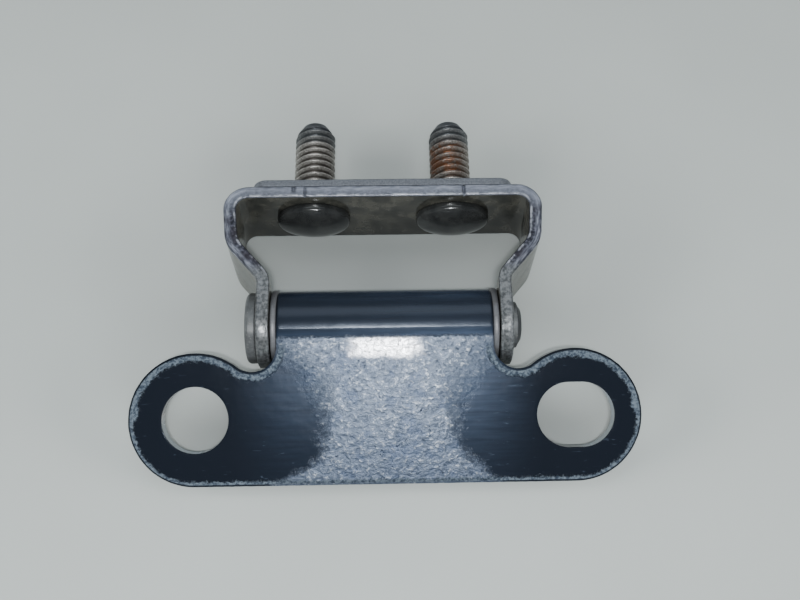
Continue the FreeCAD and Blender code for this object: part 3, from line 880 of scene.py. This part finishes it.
def make_stud(name, node, slot, centre, rust):
    seat = STRAP_T + SPACER_T
    rim = -seat - STUD_HEAD_RIM
    edge_r = STUD_HEAD_HALF - STUD_HEAD_ROUND * (1 - math.sin(STUD_DOME_SLOPE))
    edge_x = rim - STUD_HEAD_ROUND * math.cos(STUD_DOME_SLOPE)
    dome = edge_r / math.sin(STUD_DOME_SLOPE)
    top = edge_x - dome * (1 - math.cos(STUD_DOME_SLOPE))
    profile = [(top, 0.0)]
    for share in np.linspace(0.08, 1, 14):
        a = STUD_DOME_SLOPE * share
        profile.append((top + dome * (1 - math.cos(a)), dome * math.sin(a)))
    for a in np.linspace(STUD_DOME_SLOPE, math.pi / 2, 9)[1:]:
        profile.append((rim - STUD_HEAD_ROUND * math.cos(a),
                        STUD_HEAD_HALF - STUD_HEAD_ROUND * (1 - math.sin(a))))
    profile += [(rim + 0.3, STUD_HEAD_HALF), (-seat - 0.12, STUD_HEAD_HALF), (-seat, STUD_HEAD_HALF - 0.12),
                (-seat, 5.8), (-seat, SHANK_R + 0.02), (-seat + 0.05, SHANK_R - 0.01),
                (-0.15, SHANK_R - 0.01), (-0.05, SHANK_R - 0.1)]
    rows = int(STUD_TIP / PITCH * 16)
    profile += [(y, THREAD_R) for y in np.linspace(0.0, STUD_TIP - 0.02, rows)]
    profile += [(STUD_TIP, 2.3), (STUD_TIP - 0.02, 1.5), (STUD_TIP - 0.06, 0.7), (STUD_TIP - 0.07, 0.0)]
    segments = 88
    depths = []

    def shape(x, radius, a):
        depth = 0.0
        if 0.0 <= x <= STUD_TIP - 0.02 and radius == THREAD_R:
            depth = thread_depth(x, a)
            wear = noise.noise(Vector((x * 0.8, math.cos(a) * 2, math.sin(a) * 2 + centre)))
            radius = THREAD_R - 0.03 - 0.03 * wear - depth * (THREAD_R - THREAD_ROOT_R)
            runout = min(1.0, x / 1.0)
            radius = radius * runout + (THREAD_R - 0.25) * (1 - runout)
            point = 2.5 + (STUD_TIP - x) * 0.62
            if point < radius:
                depth *= max(0.0, 1 - (radius - point) / 0.5)
                radius = point
        depths.append(depth)
        return radius, 0.0

    points, faces = revolved(profile, segments, shape)
    depths += [0.0, 0.0]
    radial = np.hypot(points[:, 1], points[:, 2])
    squashed = (points[:, 0] < -seat + 0.01) & ((points[:, 0] < rim + 0.01) | (radial > SHANK_R + 0.5))
    points[squashed, 2] *= STUD_HEAD_SQUASH
    turned_points = np.column_stack([centre - points[:, 1], points[:, 0], points[:, 2]])
    return new_piece(name, turned_points, faces, node, "bracket_side", stud_steel(slot, rust),
                     [("depth", depths)])


def make_pin():
    out = EAR_INNER + STRAP_T
    head = -out - HEAD_H
    tail = out + PEEN_H
    corners = [
        (head, 0, 0), (head, 3.4, 1.2), (head + 0.22, HEAD_R - 0.25, 0.55), (head + 0.75, HEAD_R, 0.6),
        (-out - 0.3, HEAD_R - 0.05, 0.2), (-out - 0.06, HEAD_R - 0.3, 0.1), (-out - 0.005, 4.0, 0),
        (-out, PIN_R, 0), (out, PIN_R, 0), (out + 0.005, PEEN_R - 0.3, 0), (out + 0.12, PEEN_R, 0.1),
        (out + 1.15, PEEN_R, 0.25), (out + 1.2, PEEN_R - 0.35, 0.12), (tail - 0.1, 2.9, 0.5),
        (tail, 1.4, 0.5), (tail - 0.12, 0, 0),
    ]
    profile = dense(rounded(corners), 0.6)

    def shape(x, radius, a):
        lump = noise.noise(Vector((x * 0.7, math.cos(a) * 1.4, math.sin(a) * 1.4 + 5)))
        if abs(x) < out:
            return radius - 0.03, 0.0
        return max(radius - 0.04 + 0.04 * lump, 0.0), 0.0

    points, faces = revolved(profile, 96, shape)
    points[:, 1] += PIN_Y
    return new_piece("hinge_pin_turned", points, faces, "hinge_pin", "bracket_side", pin_paint())


def make_bush(name, node, sign, material):
    """Ring section revolved about the pin: sleeve in the knuckle, flange outside it."""
    start = KNUCKLE_HALF - BUSH_L
    end = KNUCKLE_HALF + BUSH_FLANGE_T
    corners = [
        (start + 0.15, BUSH_BORE_R), (start, BUSH_BORE_R + 0.12), (start, BUSH_SLEEVE_R - 0.15),
        (start + 0.15, BUSH_SLEEVE_R), (KNUCKLE_HALF, BUSH_SLEEVE_R),
        (KNUCKLE_HALF, BUSH_FLANGE_R - 0.08), (KNUCKLE_HALF + 0.08, BUSH_FLANGE_R),
        (end - 0.2, BUSH_FLANGE_R), (end - 0.06, BUSH_FLANGE_R - 0.06), (end, BUSH_FLANGE_R - 0.2),
        (end, BUSH_BORE_R + 0.2), (end - 0.2, BUSH_BORE_R),
    ]
    segments = 96
    ring = len(corners)
    vertices, faces = [], []
    for i in range(segments):
        a = 2 * math.pi * i / segments
        for x, r in corners:
            vertices.append((sign * x, r * math.cos(a) + PIN_Y, r * math.sin(a)))
    for i in range(segments):
        a, b = i * ring, ((i + 1) % segments) * ring
        for j in range(ring):
            k = (j + 1) % ring
            faces.append((a + j, a + k, b + k, b + j))
    if sign < 0:
        faces = flipped(faces)
    return new_piece(name, vertices, faces, node, "leaf_side", material)


make_leaf()
make_bracket()
make_spacer()
make_stud("stud_left_turned", "stud_left", "stud_left_steel", -STUD_X, False)
make_stud("stud_right_turned", "stud_right", "stud_right_steel", STUD_X, True)
make_pin()
BUSH_PAINT = bush_metal()
make_bush("bush_left_ring", "bush_left", -1, BUSH_PAINT)
make_bush("bush_right_ring", "bush_right", 1, BUSH_PAINT)


# ---------------------------------------------------------------- floor, lights, camera

def make_floor():
    size = 6.0  # metres from the middle to each side
    mesh = bpy.data.meshes.new("floor")
    corners = [(-size, -size, 0), (size, -size, 0), (size, size, 0), (-size, size, 0)]
    mesh.from_pydata(corners, [], [(0, 1, 2, 3)])
    mesh.materials.append(floor_paint())
    floor = bpy.data.objects.new("floor", mesh)
    floor.location = (0, 0, FLOOR_Z * MM - 0.00005)
    bpy.context.scene.collection.objects.link(floor)


def make_light(name, position, target, width, height, watts, colour=(1, 1, 1), mirrored=True):
    data = bpy.data.lights.new(name, "AREA")
    data.shape = "RECTANGLE"
    data.size, data.size_y = width * MM, height * MM
    data.energy = watts
    data.color = colour
    light = bpy.data.objects.new(name, data)
    light.visible_glossy = mirrored
    light.location = Vector(position) * MM
    light.rotation_mode = "QUATERNION"
    light.rotation_quaternion = (Vector(target) - Vector(position)).to_track_quat("-Z", "Y")
    bpy.context.scene.collection.objects.link(light)


# Camera turns about X, Y and Z, and its place in its own axes from the pin's middle
CAMERA_TURN_DEG = (25.541, -1.275, -1.327)
CAMERA_PLACE = (2.740, 4.800, 166.461)
CAMERA_LENS = 921.6 * 36 / 800


def make_camera():
    pitch, yaw, roll = (math.radians(a) for a in CAMERA_TURN_DEG)
    turn = Matrix.Rotation(yaw, 3, "Y") @ Matrix.Rotation(pitch, 3, "X") @ Matrix.Rotation(roll, 3, "Z")
    centre = turn @ Vector(CAMERA_PLACE) + Vector((0, PIN_Y, 0))
    data = bpy.data.cameras.new("camera")
    data.sensor_width = 36
    data.lens = CAMERA_LENS
    data.clip_start = 0.01
    camera = bpy.data.objects.new("camera", data)
    camera.matrix_world = Matrix.Translation(centre * MM) @ turn.to_4x4()
    bpy.context.scene.collection.objects.link(camera)
    bpy.context.scene.camera = camera


make_floor()
# The lamps near the camera aim at the leaf's bright patch; the lower ones light without being mirrored
GLINT = Vector((0, -29.5, 4.5))
make_light("lamp_core", GLINT + Vector((0.0, -0.432, 0.902)) * 260, GLINT, 24, 7, 0.34)
make_light("lamp_strip", GLINT + Vector((0.0, -0.420, 0.908)) * 300, GLINT, 130, 10, 0.16)
make_light("lamp_high", (0, 250, 520), (0, -20, 0), 460, 300, 0.6, (0.90, 0.95, 1.0))
make_light("lamp_left", (-560, -70, 180), (0, -20, 0), 420, 280, 5.0, (1.0, 0.99, 0.96), False)
make_light("lamp_right", (560, -90, 180), (0, -20, 0), 420, 280, 4.1, (1.0, 0.99, 0.96), False)
make_light("lamp_back", (0, 620, 260), (0, -20, 0), 700, 240, 0.4, (1.0, 0.99, 0.96), False)
make_light("lamp_front", (0, -480, 190), (0, -90, 0), 700, 260, 3.4, (0.98, 0.99, 1.0), False)
world = bpy.data.worlds.new("world")
world.use_nodes = True
world.node_tree.nodes["Background"].inputs[0].default_value = (0.88, 0.95, 1.0, 1.0)
world.node_tree.nodes["Background"].inputs[1].default_value = 0.20
bpy.context.scene.world = world
make_camera()
